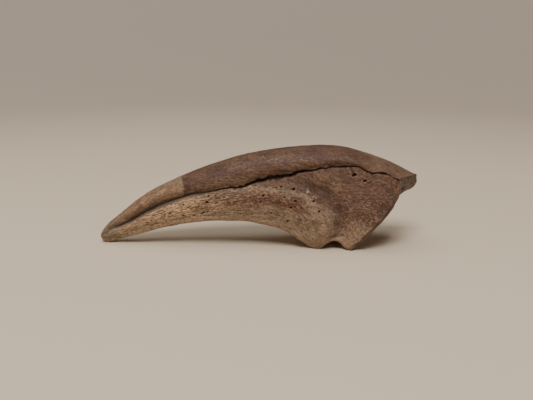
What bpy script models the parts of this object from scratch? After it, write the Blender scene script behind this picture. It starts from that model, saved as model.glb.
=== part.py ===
"""A fossil tyrannosaur toe claw, about 120 mm long, standing on its tip and its heel.

The claw is one closed solid along X with its tip at -X. Its side outline and its cross-sections are
driven by the tables below, in millimetres, with x measured from the tip and z from the surface that
it stands on. The near side is -Y.
"""

import math

import bmesh
import bpy
import numpy as np
from mathutils import Matrix

MM = 0.001

# Side outline of the back (upper edge), from the tip to the broken lip.
BACK = (
    (0.2, 3.0), (0.9, 4.6), (2.2, 6.3), (7.0, 10.8), (12.5, 15.1), (18.7, 19.3), (27.9, 24.0),
    (37.1, 28.0), (46.1, 31.2), (55.1, 33.9), (64.0, 35.7), (72.9, 36.8), (82.0, 37.3),
    (90.8, 36.8), (96.8, 35.3), (102.8, 33.2), (107.5, 31.0), (111.5, 28.3), (114.6, 26.5),
    (117.3, 25.8),
)

# Side outline of the belly (lower edge): the arch, the heel, the notch behind it and the rim's foot.
BELLY = (
    (0.5, 0.9), (1.4, 0.2), (2.7, -0.1), (6.7, 1.0), (16.4, 4.1), (25.8, 7.0), (35.0, 9.1),
    (44.0, 10.2), (52.9, 10.3), (61.8, 9.2), (68.4, 7.6), (72.9, 5.1), (77.4, 1.5), (79.6, 0.1),
    (81.6, -0.4), (83.6, -0.1), (85.4, 1.7), (87.0, 2.9), (88.8, 3.1), (90.4, 2.7), (92.0, 1.2),
    (93.6, -0.1),
)

# Line of the blood-vessel groove on the near flank, which turns into a fissure and then a crack.
GROOVE = (
    (0.5, 3.4), (4.4, 5.6), (9.0, 7.6), (13.4, 10.1), (17.5, 12.7), (23.4, 15.8), (30.7, 18.6),
    (36.5, 20.3), (42.7, 21.1), (47.4, 22.3), (50.5, 23.0), (54.0, 23.1), (58.9, 25.1), (64.3, 26.5),
    (72.9, 28.1), (79.6, 29.5), (85.3, 30.8), (91.3, 31.2), (97.4, 30.8), (101.9, 28.8),
    (107.2, 28.7), (111.9, 26.0), (116.0, 24.2),
)

# Cross-sections from tip to base: where the section line meets belly and back, and the half-widths
# of the flat belly, of the widest part low on the flank, of the edge under the groove and of the crown.
SECTIONS = (
    (0.7, 0.4, 0.9, 1.5, 1.4, 1.3),
    (2.0, 1.0, 1.2, 2.2, 2.1, 1.9),
    (7.0, 4.6, 1.8, 3.1, 3.1, 2.8),
    (16.4, 12.5, 3.0, 4.7, 4.6, 4.3),
    (30.4, 28.0, 5.0, 6.9, 6.3, 6.0),
    (45.5, 46.0, 6.7, 8.7, 7.5, 7.3),
    (58.0, 62.0, 7.7, 9.8, 8.1, 7.9),
    (69.0, 76.0, 8.3, 10.6, 8.5, 8.2),
    (77.5, 88.0, 8.4, 11.2, 8.9, 8.3),
    (83.5, 98.0, 8.6, 12.0, 9.2, 8.3),
    (89.0, 107.0, 9.4, 13.2, 9.0, 7.8),
    (93.6, 117.3, 10.4, 14.0, 7.4, 6.6),
)
LAST = len(SECTIONS) - 1
WIDEST_AT = 0.31
CORNER_HEIGHT = 2.4
CROWN_ROLL = math.radians(-24)
BELLY_HOLLOW = 0.7

# Groove along the claw: x, reach above and below its line, and depth.
GROOVE_FORM = (
    (0.0, 0.3, 0.2, 0.0), (3.5, 0.7, 0.3, 0.3), (9.0, 1.5, 0.5, 1.1), (18.0, 2.2, 0.7, 1.9),
    (30.0, 1.9, 0.7, 1.8), (40.0, 1.2, 0.5, 1.4), (52.0, 0.8, 0.5, 1.3), (60.0, 1.0, 0.8, 2.2),
    (72.0, 1.1, 0.9, 2.4), (82.0, 0.8, 0.6, 1.8), (90.0, 0.5, 0.4, 1.3), (112.0, 0.5, 0.4, 1.0),
    (120.0, 0.5, 0.4, 0.6),
)
FAR_GROOVE_WAVE = 0.5

# Rear rim seen from the side: height along the last section (0 belly, 1 back), then x and z.
RIM_LOW = (
    (0.0, 93.6, -0.1), (0.10, 97.9, 2.8), (0.26, 101.6, 7.2), (0.43, 106.2, 12.0), (0.60, 109.8, 16.4),
)
LIP_NEAR = ((0.70, 111.5, 19.2), (0.78, 111.9, 21.0), (0.90, 112.3, 23.6), (1.0, 117.3, 25.8))
LIP_FAR = ((0.70, 114.2, 17.2), (0.78, 119.2, 18.4), (0.90, 121.7, 21.6), (1.0, 117.3, 25.8))
BREAK_AT = 117.3
BREAK_SLANT = 0.78
LIP_END = 121.4

RIM_BEVEL = 1.7
RIM_BEVEL_DEPTH = 1.2
SOCKET_DEPTH = 3.6
SOCKET_RIDGE = 0.6
SOCKET_RIDGE_WIDTH = 0.24
SOCKET_INWARDS = np.array([-0.78, 0.0, 0.62])

# Shallow valley that leaves the groove and runs down behind the heel, and the swell before it.
VALLEY = (
    (70.0, 25.9), (77.4, 24.2), (82.9, 22.0), (86.5, 19.3), (88.7, 16.0), (89.8, 12.0), (90.2, 8.0),
    (89.2, 3.0),
)
VALLEY_WIDTH = 3.1
VALLEY_DEPTH = 1.9
SWELL = ((70.0, 20.0), (77.0, 18.0), (82.0, 14.5), (84.8, 10.0), (84.2, 5.0))
SWELL_WIDTH = 5.0
SWELL_HEIGHT = 1.0
LUMP_HEIGHT = 0.16

# Pits on the near flank and on the far flank: x, z, length along the claw and height.
NEAR_PITS = (
    (95.3, 28.3, 2.0, 1.3), (99.2, 26.2, 1.7, 0.8), (73.5, 23.2, 1.4, 0.9), (68.7, 23.9, 1.1, 0.8),
    (62.3, 20.6, 1.2, 0.9), (74.0, 19.0, 1.4, 0.9), (72.4, 16.4, 1.3, 1.0), (80.8, 18.9, 1.3, 1.0),
    (82.7, 15.2, 1.1, 0.9), (71.3, 10.9, 1.3, 1.0), (41.6, 17.7, 1.2, 0.9), (39.9, 13.2, 1.9, 0.7),
)
FAR_PITS = (
    (92.0, 26.9, 1.5, 1.1), (84.0, 22.4, 1.3, 0.9), (76.5, 17.8, 1.5, 1.0), (70.2, 20.9, 1.2, 0.9),
    (66.0, 13.2, 1.3, 0.9), (56.0, 17.5, 1.6, 0.8), (46.0, 15.6, 1.4, 0.8), (79.0, 11.0, 1.2, 1.0),
)
PIT_DEPTH = 1.3

# How finely the surface is cut into faces.
STATION_STEP = 1.75
ACROSS = 6
CORNER_STEPS = 2
FLANK_STEPS = 11
GROOVE_LINES = (-1.0, -0.45, 0.0, 0.35, 1.0)
CROWN_STEPS = 4


def curve(points, at):
    """Value of a smooth line through the points, at any places along it."""
    xs, values = np.array(points, float).T
    slope = np.gradient(values, xs)
    at = np.clip(at, xs[0], xs[-1])
    i = np.clip(np.searchsorted(xs, at) - 1, 0, len(xs) - 2)
    span = xs[i + 1] - xs[i]
    u = (at - xs[i]) / span
    start = (2 * u**3 - 3 * u**2 + 1) * values[i] + (u**3 - 2 * u**2 + u) * span * slope[i]
    end = (3 * u**2 - 2 * u**3) * values[i + 1] + (u**3 - u**2) * span * slope[i + 1]
    return start + end


def column(table, number, at):
    """Value of one column of a table whose first column is the place along it."""
    return curve([(row[0], row[number]) for row in table], at)


def of_section(number, t):
    """Value of one column of the cross-sections, at places counted along the rows."""
    return curve([(i, row[number]) for i, row in enumerate(SECTIONS)], t)


def smooth_step(value):
    value = np.clip(value, 0.0, 1.0)
    return value * value * (3 - 2 * value)


def ends(t):
    """Where a section line meets the belly and the back, as x and z of each."""
    belly_x, back_x = of_section(0, t), of_section(1, t)
    return belly_x, curve(BELLY, belly_x), back_x, curve(BACK, back_x)


def rim_point(h, y):
    """Place on the rear rim, in the side view, at a height and a distance from the middle."""
    near, far = RIM_LOW + LIP_NEAR, RIM_LOW + LIP_FAR
    x = np.where(y < 0, column(near, 1, h), column(far, 1, h))
    z = np.where(y < 0, column(near, 2, h), column(far, 2, h))
    crown = smooth_step((h - 0.86) / 0.12)
    broken = np.minimum(BREAK_AT + BREAK_SLANT * y, LIP_END)
    return x + crown * (broken - x), z


def place(t, h, y):
    """Point of the surface in the side view, from the section, the height and the half-width there."""
    belly_x, belly_z, back_x, back_z = ends(t)
    foot_x, foot_z, top_x, top_z = ends(LAST)
    rim_x, rim_z = rim_point(h, y)
    pull = smooth_step((t - (LAST - 2.2)) / 2.2) ** 1.5
    x = belly_x + h * (back_x - belly_x) + pull * (rim_x - foot_x - h * (top_x - foot_x))
    z = belly_z + h * (back_z - belly_z) + pull * (rim_z - foot_z - h * (top_z - foot_z))
    return x, z


def groove_height(t, side):
    """Height on each section, from 0 to 1, at which it meets the line of the groove."""
    shift = FAR_GROOVE_WAVE * np.sin(1.7 * t) if side > 0 else 0.0 * t
    low, high = np.full(t.shape, 0.25), np.full(t.shape, 0.95)
    for _ in range(24):
        middle = (low + high) / 2
        x, z = place(t, middle, -1.0)
        under = z < curve(GROOVE, x) + shift
        low, high = np.where(under, middle, low), np.where(under, high, middle)
    x, _ = place(t, low, -1.0)
    return 0.62 + (low - 0.62) * smooth_step((x - 1.0) / 4.0), x


def half_sections(t, side):
    """Heights and distances from the middle along one half of each section, from belly to back."""
    belly_x, belly_z, back_x, back_z = ends(t)
    flat, widest, under, crown = (of_section(n, t) for n in (2, 3, 4, 5))
    tall = np.hypot(back_x - belly_x, back_z - belly_z)
    line, x = groove_height(t, side)
    up = np.minimum(column(GROOVE_FORM, 1, x) / tall, 0.45 * (1 - line))
    down = np.minimum(column(GROOVE_FORM, 2, x) / tall, 0.2)
    depth = column(GROOVE_FORM, 3, x)
    corner = np.minimum(CORNER_HEIGHT / tall, 0.2)
    middle = WIDEST_AT + 0.5 * corner
    low_width = 0.45 * flat + 0.55 * widest

    points = []
    for i in range(ACROSS // 2):
        points.append((0 * t, flat * i / (ACROSS // 2)))
    for i in range(CORNER_STEPS):
        angle = math.pi / 2 * i / CORNER_STEPS
        points.append((corner * (1 - math.cos(angle)), flat + (low_width - flat) * math.sin(angle)))
    for i in range(FLANK_STEPS):
        h = corner + (line - down - corner) * i / FLANK_STEPS
        points.append((h, flank_width(h, corner, middle, line - down, low_width, widest, under)))
    roll = math.sin(CROWN_ROLL)
    centre = (line + up - roll) / (1 - roll)
    over = crown * math.cos(CROWN_ROLL)
    for g in GROOVE_LINES:
        edge = over if g > 0 else under
        hollow = depth * (1 - abs(g)) ** (1.4 if g > 0 else 1.0)
        h = line + g * (up if g > 0 else down)
        points.append((h, edge * abs(g) + (under + over) / 2 * (1 - abs(g)) - hollow))
    steps = CROWN_STEPS + ACROSS // 2
    for i in range(1, steps + 1):
        angle = CROWN_ROLL + (math.pi / 2 - CROWN_ROLL) * i / steps
        points.append((centre + (1 - centre) * math.sin(angle), crown * math.cos(angle)))
    heights, reach = np.array(points).transpose(1, 2, 0)
    return heights, np.maximum(reach, 0.0)


def flank_width(h, low, middle, high, low_width, widest, high_width):
    """Half-width of the flank, bowed out between its lower corner and the edge under the groove."""
    below = np.clip((middle - h) / (middle - low), 0, 1)
    above = np.clip((h - middle) / (high - middle), 0, 1)
    return widest - (widest - low_width) * below**2 - (widest - high_width) * above**1.7


def distance_to(points, x, z):
    """Distance in the side view to a smooth line."""
    where = np.linspace(0, len(points) - 1, 80)
    line_x = curve([(i, p[0]) for i, p in enumerate(points)], where)
    line_z = curve([(i, p[1]) for i, p in enumerate(points)], where)
    away = np.full(np.shape(x), 1e9)
    for px, pz in zip(line_x, line_z):
        away = np.minimum(away, np.hypot(px - x, pz - z))
    return away


def flank_relief(x, z, side):
    """How far the valley, the swell and low lumps move the flank outwards."""
    shift = 0.0 if side < 0 else 1.2
    valley = distance_to(VALLEY, x + shift, z)
    swell = distance_to(SWELL, x + shift, z)
    out = SWELL_HEIGHT * np.exp(-((swell / SWELL_WIDTH) ** 2))
    out -= VALLEY_DEPTH * smooth_step((x - 68.0) / 16.0) * np.exp(-((valley / VALLEY_WIDTH) ** 2))
    lumps = np.sin(0.55 * x + 0.4 * z + side) * np.sin(0.21 * x - 0.62 * z + 2.0 * side)
    return out + LUMP_HEIGHT * lumps


def stations():
    """Places of the sections, evenly spaced and closer at the tip and the rear rim."""
    fine = np.linspace(0, LAST, 600)
    x, z = place(fine, 0.5, -1.0)
    along = np.concatenate([[0], np.cumsum(np.hypot(np.diff(x), np.diff(z)))])
    total = along[-1]
    tip = [0.0, 0.7, 1.5]
    rear = [total - RIM_BEVEL, total - 0.55 * RIM_BEVEL, total - 0.2 * RIM_BEVEL, total]
    count = round((rear[0] - tip[-1]) / STATION_STEP)
    lengths = np.array(tip + list(np.linspace(tip[-1], rear[0], count + 1)[1:-1]) + rear)
    return np.interp(lengths, along, fine), total - lengths


def half_surface(t, to_rear, side):
    """Points of one half of every section, from the middle of the belly to the middle of the back."""
    h, y = half_sections(t, side)
    x, z = place(t[:, None], h, side * y)
    bevel = RIM_BEVEL_DEPTH * np.clip(1 - to_rear / RIM_BEVEL, 0, 1)[:, None] ** 1.3
    flank = smooth_step(h / 0.12) * smooth_step((0.93 - h) / 0.1)
    y = y + flank * (flank_relief(x, z, side) - bevel * smooth_step((0.74 - h) / 0.12))
    hollow = BELLY_HOLLOW * (1 - np.clip(y / 9.0, 0, 1) ** 2) * (h == 0)
    z = z + hollow * smooth_step((x - 10) / 20) * smooth_step((z - 1) / 4)
    return np.stack([x, side * np.maximum(y, 0.0), np.maximum(z, 0.0)], axis=2)


def closed_sections():
    """Closed sections from tip to base, each from belly up the near flank and down the far one."""
    t, to_rear = stations()
    near = half_surface(t, to_rear, -1)
    far = half_surface(t, to_rear, 1)
    return np.concatenate([near, far[:, -2:0:-1]], axis=1)


def edge_places(count):
    """Numbers of a section's points along its belly, far flank, back and near flank."""
    half = ACROSS // 2
    rise = count // 2 - ACROSS
    near = np.arange(half, half + rise + 1)
    top = np.arange(half + rise, half + rise + ACROSS + 1)
    far = np.arange(half + 2 * rise + ACROSS, half + rise + ACROSS - 1, -1)
    bottom = (half - np.arange(ACROSS + 1)) % count
    return bottom, far, top, near


def patch(ring):
    """Rows of points across the end of a section, worked out from its four edges."""
    bottom, far, top, near = (ring[places] for places in edge_places(len(ring)))
    v = np.linspace(0, 1, len(near))[:, None, None]
    u = np.linspace(0, 1, len(bottom))[None, :, None]
    ruled = (1 - v) * bottom[None] + v * top[None] + (1 - u) * near[:, None] + u * far[:, None]
    corners = (1 - v) * ((1 - u) * bottom[0] + u * bottom[-1]) + v * ((1 - u) * top[0] + u * top[-1])
    return ruled - corners, u, v


def rear_patch(ring):
    """Joint face: two shallow hollows with a low ridge between them, under the broken lip."""
    grid, u, v = patch(ring)
    across = 2 * u - 1
    height = grid[:, :, 2:] / 26.0
    window = smooth_step(height / 0.14) * smooth_step((0.72 - height) / 0.2)
    ridge = 1 - SOCKET_RIDGE * np.exp(-((across / SOCKET_RIDGE_WIDTH) ** 2))
    inside = (across**2 < 0.999) & (v > 0) & (v < 1)
    return grid + inside * SOCKET_INWARDS * SOCKET_DEPTH * window * (1 - across**4) * ridge


def tip_patch(ring):
    """Blunt end of the tip, rounded forwards."""
    grid, u, v = patch(ring)
    round_off = (1 - (2 * u - 1) ** 2) * (1 - (2 * v - 1) ** 2)
    return grid + np.array([-0.5, 0.0, 0.0]) * round_off


def add_patch(mesh, ring, grid, forwards):
    """Close an end of the loft with a patch that shares the section's own vertices."""
    rows, columns = grid.shape[:2]
    vertices = {}
    for r in range(1, rows - 1):
        for c in range(1, columns - 1):
            vertices[r, c] = mesh.verts.new(grid[r, c] * MM)
    bottom, far, top, near = edge_places(len(ring))
    for c in range(columns):
        vertices[0, c] = ring[bottom[c]]
        vertices[rows - 1, c] = ring[top[c]]
    for r in range(rows):
        vertices[r, 0] = ring[near[r]]
        vertices[r, columns - 1] = ring[far[r] % len(ring)]
    for r in range(rows - 1):
        for c in range(columns - 1):
            face = [vertices[r, c], vertices[r, c + 1], vertices[r + 1, c + 1], vertices[r + 1, c]]
            mesh.faces.new(face if forwards else face[::-1])


def make_claw(sections, collection, material):
    """The lofted claw as a mesh object."""
    mesh = bmesh.new()
    rings = [[mesh.verts.new(point * MM) for point in section] for section in sections]
    for first, second in zip(rings, rings[1:]):
        for i in range(len(first)):
            j = (i + 1) % len(first)
            corners = [first[i], second[i], second[j], first[j]]
            rising = i < len(first) // 2
            mesh.faces.new(corners[1:] + corners[:1] if rising else corners)
    add_patch(mesh, rings[0], tip_patch(sections[0]), False)
    add_patch(mesh, rings[-1], rear_patch(sections[-1]), True)
    bmesh.ops.recalc_face_normals(mesh, faces=mesh.faces)
    data = bpy.data.meshes.new("claw")
    mesh.to_mesh(data)
    mesh.free()
    data.shade_smooth()
    data.set_sharp_from_angle(angle=math.radians(50))
    data.materials.append(material)
    claw = bpy.data.objects.new("claw", data)
    collection.objects.link(claw)
    return claw


def surface_at(sections, x, z, side):
    """Distance from the middle to the flank at a place in the side view."""
    points = sections.reshape(-1, 3)
    points = points[points[:, 1] * side > 0]
    nearest = np.argsort(np.hypot(points[:, 0] - x, points[:, 2] - z))[:4]
    return np.mean(np.abs(points[nearest, 1]))


def add_pit_cutter(name, place_of_pit, side, size, slope, collection):
    """A blunt cone set in the flank, stretched along the claw and turned a little."""
    bpy.ops.mesh.primitive_cone_add(
        vertices=7, radius1=0.61, radius2=0.2, depth=2 * PIT_DEPTH, location=(0, 0, 0),
    )
    cutter = bpy.context.object
    cutter.name = name
    length, height = size
    lean = Matrix.Rotation(slope, 4, "Z") @ Matrix.Diagonal((length, height, 1.0, 1.0))
    cutter.data.transform(Matrix.Scale(MM, 4) @ lean)
    cutter.rotation_euler = (side * math.pi / 2, 0, 0)
    cutter.location = [value * MM for value in place_of_pit]
    cutter.hide_render = True
    cutter.display_type = "WIRE"
    for owner in list(cutter.users_collection):
        owner.objects.unlink(cutter)
    collection.objects.link(cutter)


def add_pits(claw, sections, start, collection):
    """Take the pits out of both flanks."""
    for side, word, pits in ((-1, "near", NEAR_PITS), (1, "far", FAR_PITS)):
        for number, (x, z, length, height) in enumerate(pits):
            x += start
            where = (x, side * surface_at(sections, x, z, side), z)
            slope = 0.25 * math.sin(3 * number)
            add_pit_cutter(f"pit_{word}_{number + 1}", where, side, (length, height), slope, collection)
    cut = claw.modifiers.new("pits", "BOOLEAN")
    cut.operation = "DIFFERENCE"
    cut.solver = "EXACT"
    cut.operand_type = "COLLECTION"
    cut.collection = collection


def fossil_bone():
    """Warm brown mineralised bone, dull with a faint sheen."""
    material = bpy.data.materials.new("fossil_bone")
    material.use_nodes = True
    shader = material.node_tree.nodes["Principled BSDF"]
    shader.inputs["Base Color"].default_value = (0.150, 0.088, 0.052, 1.0)
    shader.inputs["Roughness"].default_value = 0.62
    shader.inputs["Metallic"].default_value = 0.0
    return material


def new_collection(name):
    collection = bpy.data.collections.new(name)
    bpy.context.scene.collection.children.link(collection)
    return collection


def main():
    for obj in list(bpy.data.objects):
        bpy.data.objects.remove(obj, do_unlink=True)
    parts = new_collection("toe_claw")
    cutters = new_collection("cutters")
    sections = closed_sections()
    low, high = sections.min(axis=(0, 1)), sections.max(axis=(0, 1))
    start = -(low[0] + high[0]) / 2
    sections += np.array([start, -(low[1] + high[1]) / 2, 0.0])
    claw = make_claw(sections, parts, fossil_bone())
    add_pits(claw, sections, start, cutters)


main()
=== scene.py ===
from math import cos, pi, radians, sin
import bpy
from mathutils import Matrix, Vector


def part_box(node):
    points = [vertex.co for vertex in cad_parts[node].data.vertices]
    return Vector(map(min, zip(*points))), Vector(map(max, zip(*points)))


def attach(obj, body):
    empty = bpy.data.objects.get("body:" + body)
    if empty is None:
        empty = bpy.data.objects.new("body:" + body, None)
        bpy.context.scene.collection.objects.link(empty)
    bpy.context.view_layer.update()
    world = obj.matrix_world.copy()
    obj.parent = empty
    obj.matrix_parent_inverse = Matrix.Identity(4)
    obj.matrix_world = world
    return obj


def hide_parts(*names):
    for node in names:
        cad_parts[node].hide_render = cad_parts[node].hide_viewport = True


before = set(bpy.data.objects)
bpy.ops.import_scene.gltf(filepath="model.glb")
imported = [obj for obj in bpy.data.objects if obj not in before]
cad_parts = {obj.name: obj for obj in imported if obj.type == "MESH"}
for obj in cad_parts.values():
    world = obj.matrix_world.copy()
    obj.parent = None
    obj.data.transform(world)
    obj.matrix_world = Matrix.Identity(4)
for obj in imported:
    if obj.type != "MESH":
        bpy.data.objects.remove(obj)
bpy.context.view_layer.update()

from types import SimpleNamespace

import bmesh
import bpy
import numpy as np
from mathutils import Vector

# A fossil tyrannosaur toe claw standing on its tip and its heel. The tables give its shape in
# millimetres, with x measured from the tip and z from the surface it stands on. The near side is -Y.
MM = 0.001
LOW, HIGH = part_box("claw")

# Side outline of the back (upper edge), from the tip to the broken lip.
BACK = (
    (0.2, 3.0), (0.9, 4.6), (2.2, 6.2), (7.0, 10.35), (12.5, 14.95), (18.7, 19.3), (27.9, 24.0),
    (37.1, 28.0), (46.1, 31.2), (55.1, 33.9), (64.0, 35.7), (72.9, 36.8), (82.0, 37.3),
    (90.8, 36.8), (96.8, 35.4), (102.8, 33.6), (107.5, 31.6), (111.5, 28.9), (114.6, 26.6),
    (117.3, 25.8),
)

# Side outline of the belly (lower edge): the arch, the heel, the notch behind it and the rim's foot.
BELLY = (
    (0.5, 0.9), (1.4, 0.2), (2.7, -0.1), (6.7, 1.0), (16.4, 4.1), (25.8, 7.0), (35.0, 9.1),
    (44.0, 10.2), (52.9, 10.3), (61.8, 9.2), (68.4, 7.6), (72.9, 5.1), (77.4, 1.5), (79.6, 0.1),
    (81.6, -0.4), (83.8, -0.2), (85.5, 1.1), (87.0, 2.5), (88.8, 3.0), (90.4, 2.5), (92.0, 1.1),
    (93.6, -0.1),
)

# How far the sides of the belly are worn up where it rests, and how far its middle is hollowed.
CORNER_LIFT = 0.5
BELLY_HOLLOW = 0.7

# Line of the blood-vessel groove on the near flank, which turns into a fissure and then a crack.
GROOVE = (
    (0.5, 3.4), (4.4, 5.6), (9.0, 7.4), (13.4, 9.7), (17.5, 12.1), (23.4, 15.2), (30.7, 18.1),
    (36.5, 20.0), (42.7, 21.1), (47.4, 22.3), (50.5, 23.0), (54.0, 23.1), (58.9, 25.1), (64.3, 26.5),
    (72.9, 28.1), (79.6, 29.5), (85.3, 30.8), (91.3, 31.2), (97.4, 30.8), (101.9, 28.8),
    (107.2, 28.7), (111.9, 26.0), (116.0, 24.2),
)

# Cross-sections from tip to base: where the section line meets belly and back, and the half-widths
# of the flat belly, of the widest part low on the flank, of the edge under the groove and of the crown.
SECTIONS = (
    (0.7, 0.4, 0.9, 1.5, 1.3, 1.4),
    (2.0, 1.0, 1.2, 2.2, 1.9, 2.05),
    (7.0, 4.6, 1.8, 3.1, 3.0, 2.95),
    (16.4, 12.5, 3.0, 4.7, 4.6, 4.3),
    (30.4, 28.0, 5.0, 6.9, 6.3, 6.0),
    (45.5, 46.0, 6.7, 8.7, 7.5, 7.5),
    (58.0, 62.0, 7.7, 9.8, 8.1, 8.3),
    (69.0, 76.0, 8.3, 10.6, 8.5, 8.8),
    (77.5, 88.0, 8.4, 11.2, 8.9, 9.1),
    (83.5, 98.0, 8.6, 12.0, 9.2, 9.4),
    (89.0, 107.0, 9.4, 13.2, 9.0, 9.1),
    (93.6, 117.3, 10.4, 14.0, 7.4, 7.5),
)
LAST = len(SECTIONS) - 1
BELLY_AT, BACK_AT, FLAT, WIDEST, UNDER, CROWN = range(6)

# Share of the height at which the flank is widest, and height of the round corner below it.
WIDEST_AT = 0.31
CORNER_HEIGHT = 2.4

# The crown's arc overhangs the groove, up to these places.
CROWN_ROLL = radians(-24)
ROLL_FADE = (92, 104)

# Groove along the claw: x, reach above and below its line, and depth.
GROOVE_FORM = (
    (0.0, 0.3, 0.2, 0.0), (3.5, 0.7, 0.3, 0.3), (9.0, 1.5, 0.5, 1.1), (18.0, 2.2, 0.7, 1.9),
    (30.0, 1.9, 0.7, 1.8), (40.0, 1.2, 0.5, 1.4), (52.0, 0.8, 0.5, 1.3), (60.0, 1.0, 0.8, 2.2),
    (72.0, 1.1, 0.9, 2.4), (82.0, 0.8, 0.6, 1.8), (90.0, 0.5, 0.4, 1.3), (112.0, 0.5, 0.4, 1.0),
    (120.0, 0.5, 0.4, 0.6),
)

# How far the far groove wanders, the line's share of the height at the tip, and the y at which it
# is found on each section by this many halvings.
FAR_GROOVE_WAVE = 0.5
TIP_GROOVE_HEIGHT = 0.62
FLANK_Y = -7.0
HALVINGS = 24

# The groove is smooth at first and ragged further back: x, reach above and below, depth and wander.
RAGGED_START = (38, 50)
RAGGED = (
    (0.0, 0.4, 0.3, 0.8, 0.0), (44.0, 0.4, 0.3, 0.8, 0.05), (52.0, 0.5, 0.4, 1.2, 0.15),
    (58.0, 0.75, 0.6, 1.8, 0.25), (67.0, 0.95, 0.7, 2.1, 0.3), (75.0, 0.8, 0.55, 1.9, 0.3),
    (82.0, 0.45, 0.35, 1.4, 0.25), (90.0, 0.36, 0.3, 1.2, 0.28), (100.0, 0.32, 0.3, 0.9, 0.25),
    (106.0, 0.38, 0.6, 1.0, 0.2), (114.0, 0.22, 0.75, 0.8, 0.1),
)

# The crack ends here on the far side, and near the lip it goes in square to the surface.
FAR_CRACK_END = (113, 107)
CRACK_TURN = (98, 104)

# Rear rim seen from the side: height along the last section (0 belly, 1 back), then x and z.
RIM_LOW = (
    (0.0, 93.6, -0.1), (0.1, 97.9, 2.8), (0.26, 101.6, 7.2), (0.43, 106.2, 12.0), (0.6, 109.8, 16.4),
)
LIP_NEAR = (
    (0.7, 111.5, 19.4), (0.78, 111.9, 21.6), (0.86, 112.2, 24.4), (0.92, 112.3, 26.0),
    (0.97, 113.6, 26.4), (1.0, 117.3, 25.8),
)
LIP_FAR = (
    (0.7, 115.0, 16.9), (0.78, 119.0, 18.0), (0.86, 121.3, 20.1), (0.92, 122.0, 22.6),
    (0.97, 121.6, 25.0), (1.0, 117.3, 25.8),
)

# The break across the top of the lip: x in the middle, how much it slants, its end and the shares of
# the height where it starts and is full. Then z of the lip's foot.
BREAK_AT = 117.3
BREAK_SLANT = 0.72
LIP_END = 121.4
BREAK_HEIGHTS = (0.86, 0.98)
LIP_FOOT = 16.5

# Over how many of the last sections they turn into the rim, the worn bevel along it, and at which
# shares of the height the bevel ends and the flank's relief starts and ends.
RIM_PULL = 2.2
RIM_BEVEL = 1.7
RIM_BEVEL_DEPTH = 1.2
BEVEL_END = (0.74, 0.62)
FLANK_SPAN = (0.0, 0.12, 0.83, 0.93)

# Joint face: how far and which way it is hollowed, at which shares of its height, and its ridge.
SOCKET_DEPTH = 3.6
SOCKET_INWARDS = np.array([-0.78, 0.0, 0.62])
SOCKET_TOP = 26.0
SOCKET_SPAN = (0.0, 0.14, 0.52, 0.72)
SOCKET_RIDGE = 0.6
SOCKET_RIDGE_WIDTH = 0.24

# How far the blunt tip is rounded forwards.
TIP_FORWARDS = np.array([-0.5, 0.0, 0.0])

# Rounds of averaging that wear the edges before and after the relief, judge how proud a place is and
# blur the broken lip's edge. Then the height from sunken to proud, which the material paints from
# painted shade to paler wear and painted highlight, and where the crack starts.
SOFTENING, LAST_SOFTENING = 6, 5
PROUD_ROUNDS = 6
EDGE_ROUNDS = 4
PROUD_RANGE = 0.3
BESIDE_CRACK = (38, 46)

# Shallow valley that leaves the groove and runs down behind the heel, and the swell before it. Both
# lie a little further forward on the far side. Low lumps cover both flanks.
VALLEY = (
    (70.0, 25.9), (77.4, 24.2), (82.9, 22.0), (86.5, 19.3), (88.7, 16.0), (89.8, 12.0), (90.2, 8.0),
    (89.2, 3.0),
)
VALLEY_START = (68, 84)
VALLEY_WIDTH = 3.1
VALLEY_DEPTH = 1.9
SWELL = ((70.0, 20.0), (77.0, 18.0), (82.0, 14.5), (84.8, 10.0), (84.2, 5.0))
SWELL_WIDTH = 5.0
SWELL_HEIGHT = 1.0
FAR_SHIFT = 1.2
LUMP_HEIGHT = 0.16

# Upper edge of the swollen lower flank: a worn step, which turns down behind the heel as a crest.
SHOULDER = (
    (50.0, 22.7), (58.1, 22.9), (64.7, 22.6), (69.8, 22.2), (74.9, 21.2), (77.8, 20.2), (79.6, 19.2),
    (81.0, 17.6), (82.6, 14.9), (84.4, 11.3), (85.6, 8.2), (86.0, 4.6),
)

# The step's crest and drop, its reach below (-) and above its edge, and where the bone above is torn.
STEP_CREST = 0.1
STEP_DEPTH = 0.34
STEP_REACH = (0.0, 1.3, 2.5, 6.5)
LEDGE_REACH = (-1.3, -0.5, 0.7, 1.7)
TORN_ALONG = (56, 62, 91, 99)

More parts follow.
